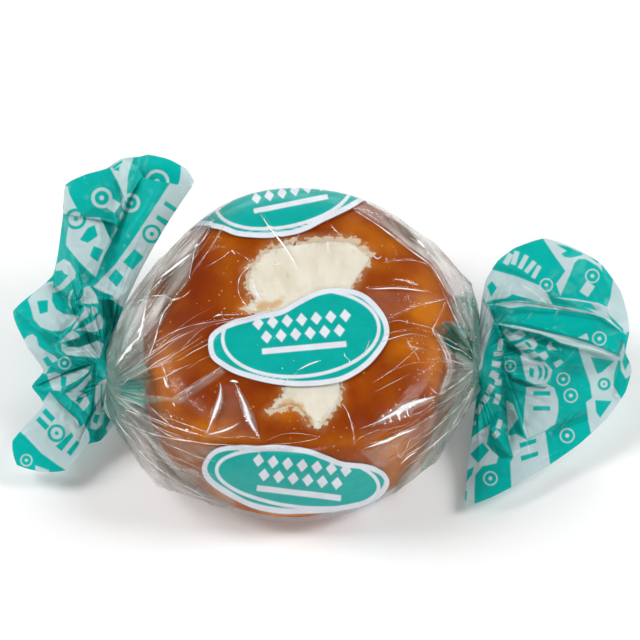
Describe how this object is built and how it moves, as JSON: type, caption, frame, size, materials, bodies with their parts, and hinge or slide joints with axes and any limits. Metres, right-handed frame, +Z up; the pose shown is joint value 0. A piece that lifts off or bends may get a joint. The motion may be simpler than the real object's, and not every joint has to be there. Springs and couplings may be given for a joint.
{
  "type": "wrapped caramel",
  "caption": "Round soft caramel with a white cream core, in a clear film wrapper twisted shut at both ends, each end flaring into a pleated fan with a teal print.",
  "frame": {"origin": "middle of the flat underside that the sweet lies on", "axes": "+X along the wrapper from the tall left twist to the right twist, +Y away from the viewer, +Z up"},
  "size_m": [0.0596, 0.0328, 0.0194],
  "materials": {
    "printed_film": "clear glossy film, printed teal and white on its ends",
    "caramel": "soft, slightly translucent, moist",
    "cream": "fine-grained, matt"
  },
  "bodies": {
    "root": {"wrapper": "printed_film", "caramel": "caramel", "cream_centre": "cream"}
  },
  "joints": []
}
